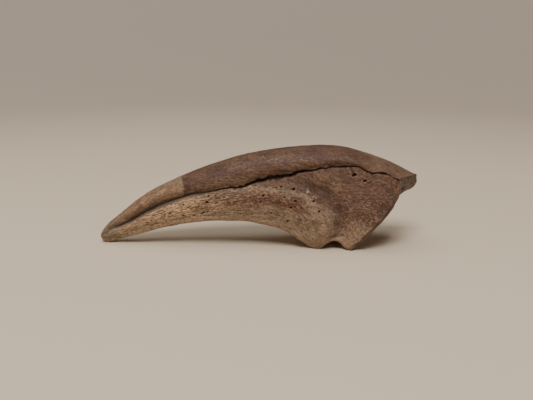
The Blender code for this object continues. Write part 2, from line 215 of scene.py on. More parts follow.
# Blood-vessel pits on each flank: x, z, length along the claw, height and depth.
NEAR_PITS = (
    (95.3, 28.3, 2.0, 1.3, 1.3), (99.2, 26.2, 1.7, 0.8, 1.0), (73.5, 23.2, 1.4, 0.9, 1.1),
    (68.7, 23.9, 0.9, 0.7, 0.7), (67.0, 23.6, 0.8, 0.5, 0.5), (62.3, 20.6, 1.1, 0.8, 0.9),
    (59.6, 24.2, 0.9, 0.5, 0.5), (69.9, 20.3, 0.9, 0.6, 0.5), (74.0, 19.0, 1.3, 0.8, 0.9),
    (72.4, 16.4, 1.2, 0.9, 0.9), (80.8, 18.9, 1.2, 0.9, 1.1), (82.7, 15.2, 1.0, 0.8, 0.9),
    (71.3, 10.9, 1.2, 0.9, 0.9), (65.2, 13.9, 0.9, 0.7, 0.7), (62.8, 13.6, 0.8, 0.5, 0.4),
    (47.9, 19.8, 0.9, 0.7, 0.5), (44.8, 20.1, 0.8, 0.6, 0.5), (42.1, 19.9, 1.0, 0.6, 0.6),
    (41.6, 17.7, 1.1, 0.8, 0.9), (39.9, 13.2, 1.9, 0.6, 0.8), (41.8, 13.7, 1.2, 0.5, 0.6),
    (36.8, 12.3, 1.6, 0.6, 0.6), (32.8, 16.4, 0.8, 0.7, 0.5), (32.6, 12.2, 1.4, 0.6, 0.7),
    (27.6, 12.8, 2.0, 0.5, 0.6), (18.7, 8.8, 1.6, 0.5, 0.5), (51.6, 14.9, 1.0, 0.6, 0.5),
    (61.5, 18.2, 0.8, 0.6, 0.5), (66.0, 18.0, 0.8, 0.5, 0.4), (75.8, 11.8, 0.7, 0.6, 0.4),
)
FAR_PITS = (
    (92.0, 26.9, 1.5, 1.1, 1.0), (84.0, 22.4, 1.3, 0.9, 0.9), (76.5, 17.8, 1.5, 1.0, 1.1),
    (70.2, 20.9, 1.2, 0.9, 0.9), (66.0, 13.2, 1.3, 0.9, 0.9), (56.0, 17.5, 1.6, 0.8, 0.9),
    (46.0, 15.6, 1.4, 0.8, 0.8), (79.0, 11.0, 1.2, 1.0, 0.9), (62.5, 21.5, 0.9, 0.7, 0.6),
    (73.4, 13.8, 1.0, 0.8, 0.7), (38.4, 12.4, 1.8, 0.6, 0.7), (35.0, 14.0, 1.4, 0.6, 0.6),
    (27.0, 11.0, 1.7, 0.6, 0.7), (21.0, 9.4, 1.5, 0.5, 0.6), (50.0, 19.2, 1.0, 0.7, 0.6),
    (88.4, 15.5, 0.9, 0.8, 0.6), (98.5, 22.5, 1.1, 0.8, 0.7),
)

# How far from the middle a side's flank starts, and the near side fades in.
ON_FLANK = 2.0
NEAR_SIDE = (1, 3)

# Hairline cracks on the near flank, as x and z, and grains of sand stuck to it: x, z and radius.
HAIRLINES = (
    ((93.6, 31.2), (94.3, 30.2), (94.8, 29.4), (95.3, 28.4)),
    ((98.3, 27.0), (99.2, 26.2), (100.4, 25.6), (101.6, 25.7)),
)
HAIRLINE_WIDTH = 0.22
HAIRLINE_DEPTH = 0.4
SAND = (
    (78.5, 22.1, 0.48), (80.8, 20.4, 0.42), (81.5, 20.0, 0.3), (84.6, 22.9, 0.26), (31.2, 25.0, 0.2),
)
SAND_HEIGHT = 0.45

# Glued repair: x and z of its line down the near flank, its gap, the step ahead of it and its filler.
SEAM = ((31.6, 26.4), (32.6, 24.0), (33.2, 21.0), (33.2, 19.6), (32.4, 16.6), (31.7, 12.5), (30.6, 8.0))
SEAM_WIDTH = 0.2
SEAM_DEPTH = 0.16
SEAM_STEP = 0.1
SEAM_REACH = (-5.0, -1.0, -0.2, 0.3)
SEAM_EDGE = (0.15, -0.25)
FILLER_REACH = (-3.2, -1.6, -0.2, 0.1)
FILLER_FOOT = (0.4, 1.4)

# Where the fibres of the base fan out from, seen from the side, and where their turn is measured.
FAN_X, FAN_Z = 78.0, 27.0
FAN_RADIUS = 22.0

# A dint in the broken lip: its place and its reach along x, y and z.
DINT_AT = np.array([114.6, -4.0, 21.6])
DINT_REACH = np.array([1.0, 3.0, 0.9])
DINT_DEPTH = 1.1

# Heights and depths of the fine relief.
FRONT_LUMPS, REAR_LUMPS, SMALL_LUMPS, JOINT_LUMPS = 0.07, 0.16, 0.05, 0.1
STREAKS, ROUGHNESS, FIBRES, SHEETS, SLABS = 0.16, 0.06, 0.08, 0.15, 0.34
SLIT_DEPTH, HOLE_DEPTH, SPLIT_DEPTH, SPONGE_DEPTH, JOINT_PORE_DEPTH = 0.34, 0.24, 0.26, 0.45, 0.28

# Depths at which a crack and a pit are painted black: dark fill and painted shade in the crack, painted
# shade in the pits.
BLACK_CRACK, BLACK_PIT = 0.6, 0.5

# Where the slits and the holes of the flank fade in and out along it, and the slits below the groove.
SLITS_ALONG = (5, 9, 49, 61)
SLITS_TOP = (-0.8, -2.3)
HOLES_ALONG = (38, 48, 83, 88)

# How far down the surface faces where the belly starts, and where it is full.
BELLY_ZONE = (0.5, 0.8)

# Where other kinds of surface start and are full: above the groove, or above the belly for the margin,
LOW_FLANK = (0.4, -0.4)
BAND_FOOT = (0.4, 1.2)
BAND_TOP = (4.2, 2.2)
MARGIN_ZONE = (5.4, 2.8)
# by height,
LIP_ZONE = (17.2, 18.1)
FOOT_ZONE = (12, 6)
SMOOTH_BASE_ZONE = (19.5, 23.5)
# or along the claw.
POINT_ZONE = (13, 5)
BAND_START = (32, 36)
RED_START = (34, 43)
DISTAL_ZONE = (50, 34)
BAND_END = (62, 53)
RED_END = (81, 76)
BASE_ZONE = (87.6, 90.6)
REAR_BACK_ZONE = (95, 104)

# Middle of the reddest band of the flank, as x and z, and its reach.
RED_BAND = (
    (30.0, 15.5), (45.0, 17.5), (55.6, 18.8), (63.0, 19.6), (69.8, 18.4), (76.0, 17.0), (82.0, 14.5),
)
RED_REACH = 3.0

# Paler, greyer patches of the back on the near side, partly the bone's bloom and partly painted sheen:
# x, z and reach along and across.
BLOOM_AND_SHEEN = (
    (55.0, 31.0, 3.6, 1.3), (66.5, 33.6, 5.5, 1.0), (77.5, 33.6, 5.0, 1.1), (83.6, 32.4, 3.0, 0.9),
    (70.0, 31.4, 6.0, 0.6),
)

# Distance above the groove that is stored where there is none.
FAR_FROM_GROOVE = -9.0

# Numbers that scramble the cells of a grid.
SCRAMBLE = np.array([127.1, 311.7, 74.7])
SEED_STEP = 17.3
SCRAMBLE_REACH = 43758.5453

# How finely the surface is cut into faces, from how far below the groove to how far above it they
# are smallest, and how finely a line is cut into points.
STATIONS = 288
RIM_STATIONS = 8
ACROSS = 30
HALF_ACROSS = ACROSS // 2
CORNER_STEPS = 6
FLANK_STEPS = 54
BAND_STEPS = 30
CROWN_STEPS = 18
BAND_LOW, BAND_HIGH = 1.7, 2.0
LINE_POINTS = 80


def curve(points, at):
    """Smooth line through the points, read at any places."""
    xs, values = np.array(points, float).T
    slope = np.gradient(values, xs)
    at = np.clip(at, xs[0], xs[-1])
    i = np.clip(np.searchsorted(xs, at) - 1, 0, len(xs) - 2)
    span = xs[i + 1] - xs[i]
    u = (at - xs[i]) / span
    start = (2 * u**3 - 3 * u**2 + 1) * values[i] + (u**3 - 2 * u**2 + u) * span * slope[i]
    end = (3 * u**2 - 2 * u**3) * values[i + 1] + (u**3 - u**2) * span * slope[i + 1]
    return start + end


def column(table, number, at):
    """One column of a table, read at values of its first column."""
    return curve([(row[0], row[number]) for row in table], at)


def by_row(table, number, at):
    """One column of a table, read at places counted in rows."""
    return curve([(i, row[number]) for i, row in enumerate(table)], at)


def ramp(value, start=0.0, end=1.0):
    """Share that goes smoothly from 0 at the start to 1 at the end, up or down."""
    share = np.clip((value - start) / (end - start), 0.0, 1.0)
    return share * share * (3 - 2 * share)


def fading(value, fades):
    """Share that rises over the first two values and falls over the last two."""
    rise, full, fall, gone = fades
    return ramp(value, rise, full) * ramp(value, gone, fall)


def bell(value, width):
    """Share that is 1 at 0 and falls away smoothly on both sides."""
    return np.exp(-((value / width) ** 2))


def corner_value(cell, seed):
    """Repeatable value from -1 to 1 for each cell of a grid."""
    mixed = np.sin(cell @ SCRAMBLE + SEED_STEP * seed) * SCRAMBLE_REACH
    return 2 * (mixed - np.floor(mixed)) - 1


def noise(points, size, seed):
    """Smooth noise from -1 to 1, with grains of one size, or of a size along each axis."""
    points = points / np.array(size)
    cell = np.floor(points)
    part = ramp(points - cell)
    total = np.zeros(len(points))
    for corner in np.ndindex(2, 2, 2):
        weight = np.prod(np.where(corner, part, 1 - part), axis=1)
        total += weight * corner_value(cell + corner, seed)
    return total


def layered(points, size, seed, layers=3):
    """Several noises, each about half as coarse and strong as the last."""
    points = points / np.array(size)
    return sum(noise(points * 2.03**i, 1.0, seed + i) * 0.5**i for i in range(layers))


def pores(points, size, seed, radius):
    """Depth from 0 to 1 of pits scattered one to a cell, with their radius in cells."""
    points = points / np.array(size)
    cell = np.floor(points)
    depth = np.zeros(len(points))
    for step in np.ndindex(3, 3, 3):
        near = cell + step - 1
        shift = np.stack([corner_value(near, seed + n) for n in (1, 2, 3)], axis=1)
        reach = radius * (0.75 + 0.45 * corner_value(near, seed + 4))
        away = np.linalg.norm(points - near - 0.5 - 0.4 * shift, axis=1)
        depth = np.maximum(depth, np.clip(1 - (away / np.maximum(reach, 0.001)) ** 2, 0, 1))
    return depth


def ends(t):
    """Where a section line meets the belly and the back, as x and z of each."""
    belly_x, back_x = by_row(SECTIONS, BELLY_AT, t), by_row(SECTIONS, BACK_AT, t)
    return belly_x, curve(BELLY, belly_x), back_x, curve(BACK, back_x)


def tallness(t):
    """Length of a section line from belly to back."""
    belly_x, belly_z, back_x, back_z = ends(t)
    return np.hypot(back_x - belly_x, back_z - belly_z)


def rim_point(h, y):
    """Place on the rear rim in the side view, at a height and a y."""
    near, far = RIM_LOW + LIP_NEAR, RIM_LOW + LIP_FAR
    x, z = (np.where(y < 0, column(near, n, h), column(far, n, h)) for n in (1, 2))
    broken = np.minimum(BREAK_AT + BREAK_SLANT * y, LIP_END)
    return x + ramp(h, *BREAK_HEIGHTS) * (broken - x), z


def place(t, h, y):
    """Place in the side view of a section's point, from its height and y."""
    belly_x, belly_z, back_x, back_z = ends(t)
    foot_x, foot_z, top_x, top_z = ends(LAST)
    rim_x, rim_z = rim_point(h, y)
    pull = ramp(t, LAST - RIM_PULL, LAST) ** 1.5
    x = belly_x + h * (back_x - belly_x) + pull * (rim_x - foot_x - h * (top_x - foot_x))
    z = belly_z + h * (back_z - belly_z) + pull * (rim_z - foot_z - h * (top_z - foot_z))
    return x, z


def groove_height(t, side):
    """Share of the height at which each section meets the groove's line, and x there."""
    shift = FAR_GROOVE_WAVE * np.sin(1.7 * t) if side > 0 else 0.0
    low, high = np.full(t.shape, 0.25), np.full(t.shape, 0.95)
    for _ in range(HALVINGS):
        middle = (low + high) / 2
        x, z = place(t, middle, FLANK_Y)
        under = z < curve(GROOVE, x) + shift
        low, high = np.where(under, middle, low), np.where(under, high, middle)
    x, _ = place(t, low, FLANK_Y)
    return TIP_GROOVE_HEIGHT + (low - TIP_GROOVE_HEIGHT) * ramp(x, 1.0, 5.0), x


def within(off, up, down):
    """Share that is 1 on the groove's line and 0 at its reach above and below it."""
    return np.clip(np.where(off > 0, 1 - off / up, 1 + off / down), 0, 1)


def section_heights(corner, band_low, band_high):
    """Heights of the points of half a section: belly, lower corner, flank, groove and crown."""
    steps = CROWN_STEPS + HALF_ACROSS
    return np.concatenate([
        np.zeros((len(corner), HALF_ACROSS)),
        corner * (1 - np.cos(pi / 2 * np.arange(CORNER_STEPS) / CORNER_STEPS)),
        corner + (band_low - corner) * np.arange(FLANK_STEPS) / FLANK_STEPS,
        band_low + (band_high - band_low) * np.arange(BAND_STEPS) / BAND_STEPS,
        band_high + (1 - band_high) * np.sin(pi / 2 * np.arange(steps + 1) / steps),
    ], axis=1)


def half_sections(t, side):
    """Heights, half-widths and distances above the groove, on half of each section."""
    flat, widest, under, crown = (by_row(SECTIONS, number, t) for number in (FLAT, WIDEST, UNDER, CROWN))
    tall = tallness(t)
    line, x = groove_height(t, side)
    up = np.minimum(column(GROOVE_FORM, 1, x) / tall, 0.45 * (1 - line))
    down = np.minimum(column(GROOVE_FORM, 2, x) / tall, 0.2)
    depth = column(GROOVE_FORM, 3, x) * (1 - ramp(x, *RAGGED_START))
    corner = np.minimum(CORNER_HEIGHT / tall, 0.2)
    band_low = line - np.minimum(BAND_LOW / tall, 0.2)
    band_high = line + np.minimum(BAND_HIGH / tall, 0.45 * (1 - line))
    h = section_heights(corner, band_low, band_high)

    low_width = 0.45 * flat + 0.55 * widest
    middle = WIDEST_AT + 0.5 * corner
    lower = np.clip((middle - h) / (middle - corner), 0, 1)
    upper = np.clip((h - middle) / (line - down - middle), 0, 1)
    flank = widest - (widest - low_width) * lower**2 - (widest - under) * upper**1.7
    roll = CROWN_ROLL * (1 - ramp(x, *ROLL_FADE))
    centre = (line + up - np.sin(roll)) / (1 - np.sin(roll))
    over = crown * np.cos(roll)
    dome = crown * np.sqrt(1 - np.clip((h - centre) / (1 - centre), -1, 1) ** 2)
    edge = (under + over) / 2
    below = edge + (under - edge) * np.clip((line - h) / down, 0, 1)
    above = edge + (over - edge) * np.clip((h - line) / up, 0, 1)
    y = np.select([h < line - down, h < line, h < line + up], [flank, below, above], dome)
    bend = np.sqrt(1 - (1 - np.clip(h / corner, 0, 1)) ** 2)
    y = np.where(h < corner, flat + (low_width - flat) * bend, y)
    inside = within(h - line, up, down)
    y = y - depth * np.where(h > line, inside**1.4, inside)
    y[:, :HALF_ACROSS] = flat * np.arange(HALF_ACROSS) / HALF_ACROSS
    return h, np.maximum(y, 0.0), (h - line) * tall


def distance_to(points, x, z):
    """Distance in the side view to a smooth line."""
    where = np.linspace(0, len(points) - 1, LINE_POINTS)
    away = np.full(np.shape(x), np.inf)
    for px, pz in zip(by_row(points, 0, where), by_row(points, 1, where)):
        away = np.minimum(away, np.hypot(px - x, pz - z))
    return away


def flank_relief(x, z, side):
    """How far the valley, the swell and low lumps move the flank outwards."""
    shift = FAR_SHIFT if side > 0 else 0.0
    valley = distance_to(VALLEY, x + shift, z)
    swell = distance_to(SWELL, x + shift, z)
    out = SWELL_HEIGHT * bell(swell, SWELL_WIDTH)
    out -= VALLEY_DEPTH * ramp(x, *VALLEY_START) * bell(valley, VALLEY_WIDTH)
    lumps = np.sin(0.55 * x + 0.4 * z + side) * np.sin(0.21 * x - 0.62 * z + 2.0 * side)
    return out + LUMP_HEIGHT * lumps


def stations():
    """Place among the sections, length along the claw and distance to the rim of each ring."""
    fine = np.linspace(0, LAST, 600)
    x, z = place(fine, 0.5, -1.0)
    along = np.concatenate([[0], np.cumsum(np.hypot(np.diff(x), np.diff(z)))])
    total = along[-1]
    even = np.linspace(0, total - RIM_BEVEL, STATIONS)
    last = total - RIM_BEVEL * np.linspace(0.86, 0, RIM_STATIONS) ** 1.1
    lengths = np.concatenate([even, last])[:, None]
    return np.interp(lengths, along, fine), lengths, total - lengths


def half_surface(t, along, to_rear, side):
    """Points of one half of every section, each with its grain, its place by the groove and the rim."""
    h, y, off = half_sections(t, side)
    x, z = place(t, h, side * y)
    bevel = RIM_BEVEL_DEPTH * np.clip(1 - to_rear / RIM_BEVEL, 0, 1) ** 1.3
    y = y + fading(h, FLANK_SPAN) * (flank_relief(x, z, side) - bevel * ramp(h, *BEVEL_END))
    hollow = BELLY_HOLLOW * (1 - np.clip(y / 9.0, 0, 1) ** 2) * (h == 0)
    z = z + hollow * ramp(x, 10, 30) * ramp(z, 1, 5)
    flat = np.maximum(by_row(SECTIONS, FLAT, t), 0.1)
    lifted = np.clip(y / flat, 0, 1.3) ** 2 * ramp(z, 4.0, 1.0) * ramp(x, 90.0, 88.0)
    z = z + CORNER_LIFT * lifted
    y = side * np.maximum(y, 0.0)
    length = np.broadcast_to(along, h.shape)
    rim = ramp(to_rear, 2.0, 1.6) * ramp(h, 0.76, 0.71)
    return np.stack([x, y, np.maximum(z, 0.0), length, h * tallness(t), y, off, rim], axis=2)


def edge_places(count):
    """Numbers of a section's points along its belly, far flank, back and near flank."""
    rise = count // 2 - ACROSS
    top_start = HALF_ACROSS + rise
    near = np.arange(HALF_ACROSS, top_start + 1)
    top = np.arange(top_start, top_start + ACROSS + 1)
    far = np.arange(top_start + rise + ACROSS, top_start + ACROSS - 1, -1)
    bottom = (HALF_ACROSS - np.arange(ACROSS + 1)) % count
    return bottom, far, top, near


def patch(ring):
    """Rows of points across the end of a section, worked out from its four edges."""
    bottom, far, top, near = (ring[places] for places in edge_places(len(ring)))
    v = np.linspace(0, 1, len(near))[:, None, None]
    u = np.linspace(0, 1, len(bottom))[None, :, None]
    ruled = (1 - v) * bottom[None] + v * top[None] + (1 - u) * near[:, None] + u * far[:, None]
    corners = (1 - v) * ((1 - u) * bottom[0] + u * bottom[-1]) + v * ((1 - u) * top[0] + u * top[-1])
    return ruled - corners, u, v


def rear_patch(ring):
    """Joint face: two shallow hollows with a low ridge between them, under the broken lip."""
    grid, u, v = patch(ring)
    across = 2 * u - 1
    window = fading(grid[:, :, 2:3] / SOCKET_TOP, SOCKET_SPAN)
    ridge = 1 - SOCKET_RIDGE * bell(across, SOCKET_RIDGE_WIDTH)
    inside = (across**2 < 0.999) & (v > 0) & (v < 1)
    grid[:, :, :3] += inside * SOCKET_INWARDS * SOCKET_DEPTH * window * (1 - across**4) * ridge
    grid[:, :, 6:] = (FAR_FROM_GROOVE, 0.0)
    return grid


def tip_patch(ring):
    """Blunt end of the tip, rounded forwards."""
    grid, _, _ = patch(ring)
    bottom, top = ring[:, 2].min(), ring[:, 2].max()
    rise = 2 * (grid[:, :, 2:3] - bottom) / (top - bottom) - 1
    across = grid[:, :, 1:2] / np.maximum(np.abs(grid[:, :1, 1:2]), 0.1)
    grid[:, :, :3] += TIP_FORWARDS * np.clip((1 - rise**2) * (1 - across**2), 0, 1)
    return grid


def claw_points():
    """Every vertex with its numbers, the faces, and which vertices are on the joint face."""
    near, far = (half_surface(*stations(), side) for side in (-1, 1))
    rings = np.concatenate([near, far[:, -2:0:-1]], axis=1)
    count, size, width = rings.shape
    number = np.arange(count * size).reshape(count, size)
    first, second = number[:-1], number[1:]
    after = np.roll(np.arange(size), -1)
    faces = [np.stack([first, second, second[:, after], first[:, after]], axis=2).reshape(-1, 4)]
    points = [rings.reshape(-1, width)]
    total = count * size
    for end, make in ((0, tip_patch), (-1, rear_patch)):
        grid = make(rings[end])
        rows, columns = grid.shape[:2]
        inside = (rows - 2) * (columns - 2)
        names = np.zeros((rows, columns), int)
        names[1:-1, 1:-1] = total + np.arange(inside).reshape(rows - 2, columns - 2)
        bottom, far, top, near = (number[end][places] for places in edge_places(size))
        names[0], names[-1], names[:, 0], names[:, -1] = bottom, top, near, far
        cells = [names[:-1, :-1], names[:-1, 1:], names[1:, 1:], names[1:, :-1]]
        faces.append(np.stack(cells if end else cells[::-1], axis=2).reshape(-1, 4))
        points.append(grid[1:-1, 1:-1].reshape(-1, width))
        total += inside
    joint = np.arange(total) >= total - inside
    return np.concatenate(points), np.concatenate(faces), joint


def read(items, name, width=3):
    """Vectors, or numbers with a width of 1, of a mesh's vertices, normals or attribute."""
    values = np.zeros(len(items) * width, np.float32)
    items.foreach_get(name, values)
    return np.squeeze(values.reshape(-1, width)).astype(float)


def surface(data):
    """Coordinates, normals, grain and distance above the groove of each vertex."""
    marks = data.attributes
    grain, off = read(marks["grain"].data, "vector"), read(marks["above_groove"].data, "value", 1)
    return read(data.vertices, "co"), read(data.vertex_normals, "vector"), grain, off


def write(data, name, values):
    """Store a number, or a vector, for each vertex."""
    kind, word = ("FLOAT_VECTOR", "vector") if values.ndim == 2 else ("FLOAT", "value")
    attribute = data.attributes.get(name) or data.attributes.new(name, kind, "POINT")
    attribute.data.foreach_set(word, values.astype(np.float32).ravel())


def set_coordinates(data, co):
    data.vertices.foreach_set("co", co.astype(np.float32).ravel())
    data.update()


def raw_claw():
    """The smooth claw, with smaller faces around the pits and on the broken lip."""
    points, faces, joint = claw_points()
    co = points[:, :3]
    data = bpy.data.meshes.new("claw_surface")
    data.from_pydata(co.tolist(), [], faces.tolist())
    for name, values in (
        ("grain", points[:, 3:6]), ("above_groove", points[:, 6]),
        ("rim", points[:, 7]), ("joint", joint),
    ):
        write(data, name, values)
    mesh = bmesh.new()
    mesh.from_mesh(data)
    bmesh.ops.recalc_face_normals(mesh, faces=mesh.faces)
    finer = joint & (co[:, 2] > LIP_FOOT)
    for side, pits in ((-1, NEAR_PITS), (1, FAR_PITS)):
        for x, z, length, height, _ in pits:
            away = np.hypot((co[:, 0] - x) / (0.75 * length), (co[:, 2] - z) / (0.8 * height + 0.2))
            finer |= (away < 1) & (co[:, 1] * side > ON_FLANK)
    mesh.verts.ensure_lookup_table()
    edges = {e for i in np.flatnonzero(finer) for e in mesh.verts[i].link_edges}
    edges = sorted(edges, key=lambda e: e.index)
    bmesh.ops.subdivide_edges(mesh, edges=edges, cuts=1, use_grid_fill=True)
    mesh.to_mesh(data)
    mesh.free()
    return data


def average(data, values, rounds, share=1.0):
    """Values of the vertices, each drawn a few times towards the mean of its neighbours."""
    ends_of = np.zeros(len(data.edges) * 2, np.int32)
    data.edges.foreach_get("vertices", ends_of)
    a, b = ends_of.reshape(-1, 2).T
    count = len(values)
    links = np.bincount(a, minlength=count) + np.bincount(b, minlength=count)
    for _ in range(rounds):
        total = np.zeros_like(values)
        for i in range(values.shape[1]):
            total[:, i] = np.bincount(a, values[b, i], count) + np.bincount(b, values[a, i], count)
        values = values + share * (total / links[:, None] - values)
    return values


def pit_depth(x, y, z):
    """Depth of the listed pits, each leaning and dented a little differently."""
    depth = np.zeros(len(x))
    for side, pits in ((-1, NEAR_PITS), (1, FAR_PITS)):
        for number, (px, pz, length, height, deep) in enumerate(pits):
            lean = 0.35 + 0.25 * sin(3 * number)
            dx, dz = x - px, z - pz
            a = (dx * cos(lean) + dz * sin(lean)) / (0.5 * length)
            b = (dz * cos(lean) - dx * sin(lean)) / (0.5 * height)
            away = np.hypot(a, b) + 0.08 * np.sin(3 * np.arctan2(b, a) + number)
            depth = np.maximum(depth, (y * side > ON_FLANK) * deep * ramp(away, 1.15, 0.4))
    return depth


def hairline_depth(x, y, z):
    """Depth of the hairline cracks on the near flank."""
    away = np.minimum.reduce([distance_to(points, x, z) for points in HAIRLINES]) / HAIRLINE_WIDTH
    return HAIRLINE_DEPTH * (y < -ON_FLANK) * np.clip(1 - away**2, 0, 1)


def fissure(co, off):
    """Depth of the groove's ragged part."""
    x, y, _ = co.T
    share = ramp(x, *RAGGED_START)
    places = np.stack([x, np.sign(y), 0 * x], axis=1)
    off = off - column(RAGGED, 4, x) * layered(places, (2.6, 1 / 3, 1.0), 5)
    up = column(RAGGED, 1, x) * np.maximum(1 + 0.6 * layered(co, 1.2, 11), 0.3)
    down = column(RAGGED, 2, x) * np.maximum(1 + 0.5 * layered(co, 1.2, 14), 0.35)
    ending = np.where(y > 0, ramp(x, *FAR_CRACK_END), 1.0)
    depth = column(RAGGED, 3, x) * (1 + 0.25 * noise(co, 1.1, 17))
    return share * ending * depth * within(off, up, down) ** 0.6


def zones(co, grain, out, off, rim, joint):
    """Where each kind of surface lies, from 0 to 1, with edges made uneven by a blur."""
    x, y, z = co.T
    blur = layered(grain, (7.0, 3.0, 4.0), 31)
    skin = 1 - joint
    low = ramp(off, *LOW_FLANK)
    lip = joint * ramp(z - 0.12 * y + 0.5 * blur, *LIP_ZONE)
    base = low * skin * ramp(x + 1.2 * blur - 0.35 * np.maximum(z - 20, 0), *BASE_ZONE)
    rest = low * skin * (1 - base)
    return {
        "low": low * skin,
        "base": base,
        "joint": joint * (1 - lip),
        "sponge": lip,
        "rim": rim * skin,
        "belly": skin * ramp(-out[:, 2], *BELLY_ZONE),
        "distal": skin * ramp(x - 7 * blur, *DISTAL_ZONE),
        "margin": rest * ramp(grain[:, 1] - 1.5 * blur, *MARGIN_ZONE),
        "foot": base * ramp(z - 2.0 * blur, *FOOT_ZONE),
        "rear_back": skin * (1 - low) * ramp(x + 3.0 * blur, *REAR_BACK_ZONE),
        "smooth_base": base * ramp(z + 1.5 * blur, *SMOOTH_BASE_ZONE),
        "point": skin * ramp(x - 3.0 * blur, *POINT_ZONE),
        "band": skin * ramp(off, *BAND_FOOT) * ramp(off - 1.5 * blur, *BAND_TOP)
        * ramp(x, *BAND_START) * ramp(x - 5 * blur, *BAND_END),
        "red": rest * ramp(x + 3 * blur, *RED_START) * ramp(x - 2 * blur, *RED_END)
        * bell(z - curve(RED_BAND, x) + 0.7 * blur, RED_REACH),
    }


def lumps(x, grain, flank, crown):
    """Low lumps all over, and streaks along the front part of the flank."""
    broad = FRONT_LUMPS + (REAR_LUMPS - FRONT_LUMPS) * ramp(x, 30, 50)
    height = broad * layered(grain, (9.0, 5.0, 5.0), 1)
    height += SMALL_LUMPS * layered(grain, (2.2, 0.9, 0.9), 2)
    height += SMALL_LUMPS * crown * layered(grain, (5.0, 1.1, 1.1), 7)
    return height + STREAKS * flank * ramp(x, 62, 38) * layered(grain, (6.0, 0.6, 0.6), 3, 2)


def flank_pores(x, off, grain, flank, margin):
    """Slits of the front part of the flank and holes of its rear part: height, darkness and marks."""
    crowded = ramp(0.75 + 0.6 * layered(grain, (7.0, 2.6, 2.6), 43, 2))
    slits = pores(grain, (4.2, 0.6, 0.8), 40, 0.42) * crowded
    fine_slits = pores(grain, (1.4, 0.46, 0.6), 45, 0.38)
    slit_zone = flank * fading(x, SLITS_ALONG) * ramp(off, *SLITS_TOP) * (1 - 0.55 * margin)
    slits = np.maximum(slits, 0.6 * fine_slits) * slit_zone
    hole_zone = flank * fading(x, HOLES_ALONG)
    crowded = ramp(0.45 + layered(grain, 3.5, 53, 2)) * (1 - 0.7 * margin)
    holes = pores(grain, (1.05, 0.9, 0.9), 50, 0.38) * hole_zone * crowded
    height = ROUGHNESS * hole_zone * layered(grain, 0.9, 56, 2) - SLIT_DEPTH * slits - HOLE_DEPTH * holes
    return height, slits + 0.8 * holes, {"slotted": slit_zone}


def base_fibres(co, grain, zone):
    """Fibres and splits of the base, which fan out from one place."""
    x, y, z = co.T
    turn = np.arctan2(FAN_Z - z, np.maximum(x - FAN_X, 0.1))
    fan = np.stack([np.hypot(x - FAN_X, z - FAN_Z), turn * FAN_RADIUS, y], axis=1)
    bare = zone["base"] * (1 - zone["rim"])
    crowded = ramp(0.25 + layered(grain, 4.0, 66, 2))
    splits = pores(fan, (1.7, 0.62, 0.9), 63, 0.42) * bare * crowded
    height = FIBRES * layered(fan, (2.6, 0.6, 2.5), 60) * bare - SPLIT_DEPTH * splits
    return height, 0.7 * splits, {"fan": fan}


def shoulder(x, y, z, grain, low):
    """Worn step along the swollen flank, with the torn sheets of bone above it."""
    step = distance_to(SHOULDER, x, z) * np.where(z > curve(SHOULDER, x), 1, -1)
    torn = low * fading(x, TORN_ALONG) * ramp(step, 0.7, 1.7) * ramp(z, 13, 19)
    stepped = low * ramp(x, 52, 60) * (0.45 + 0.55 * ramp(-y, *NEAR_SIDE))
    form = STEP_CREST * bell(step + 0.5, 0.9) - STEP_DEPTH * fading(step, STEP_REACH)
    height = SHEETS * torn * layered(grain, (4.5, 0.5, 0.8), 68) + form * stepped * ramp(x, 92, 88)
    ledge = stepped * fading(step, LEDGE_REACH) * ramp(x, 79, 74)
    ledge *= ramp(0.4 + 0.9 * layered(grain, (3.0, 1.0, 1.0), 90, 2))
    return height, 0.0, {"ledge": ledge, "torn": torn}


def broken_lip(co, zone, inner):
    """Spongy bone in slanting slabs on the broken lip, and the worn joint face below it."""
    x, y, z = co.T
    sponge = pores(co, 0.95, 70, 0.5)
    slanting = np.stack([x + z, y, z - x], axis=1)
    dint = bell(np.linalg.norm((co - DINT_AT) / DINT_REACH, axis=1), 1.0)
    joint_pores = pores(co, 1.3, 79, 0.3) * zone["joint"] * ramp(0.2 + noise(co, 4.0, 82))
    slabs = layered(slanting, (4.0, 2.0, 1.0), 73)
    height = (SLABS * slabs - SPONGE_DEPTH * sponge - DINT_DEPTH * dint) * inner
    height += JOINT_LUMPS * layered(co, 2.2, 76) * zone["joint"] - JOINT_PORE_DEPTH * joint_pores
    return height, sponge * zone["sponge"] + dint * inner + joint_pores, {}


def seam_distance(co):
    """How far behind the glued seam each point lies, along the claw."""
    line = curve([(z, x) for x, z in reversed(SEAM)], co[:, 2])
    return co[:, 0] - line - 0.3 * noise(co, 1.2, 84)


def sand(x, y, z):
    """Share of the height of the grains of sand stuck to the near flank."""
    grit = np.zeros(len(x))
    for sx, sz, radius in SAND:
        away = np.hypot(x - sx, z - sz) / radius
        grit = np.maximum(grit, np.sqrt(np.clip(1 - away**2, 0, 1)))
    return grit * ramp(-y, *NEAR_SIDE)


def calmness(crack, z, along, belly):
    """Share of the fine relief that is left in the crack, under the heel and at the tip."""
    calm = 1 - 0.7 * np.clip(crack / 0.5, 0, 1)
    calm *= 1 - 0.85 * belly * ramp(z, 2.5, 0.5)
    return calm * (0.35 + 0.65 * ramp(along, 0.0, 4.0))


def groove_shade(x, off):
    """How deep in the smooth part of the groove each point lies, from 0 to 1, where the material paints
    shade.
    """
    up, down, depth = (column(GROOVE_FORM, number, x) for number in (1, 2, 3))
    inside = within(off, np.maximum(1.2 * up, 0.3), np.maximum(1.5 * down, 0.3))
    return np.clip(1.6 * inside, 0, 1) * np.clip(depth, 0, 1) * (1 - ramp(x, *RAGGED_START))


def bloom_and_sheen_at(x, y, z):
    """Where the paler patches of the back lie, partly the bone's bloom and partly painted sheen, a
    little weaker on the far side.
    """
    spots = [np.exp(-(((x - at) / long) ** 2) - ((z - up) / tall) ** 2) for at, up, long, tall in BLOOM_AND_SHEEN]
    return np.maximum.reduce(spots) * np.where(y < 0, 1.0, 0.8)


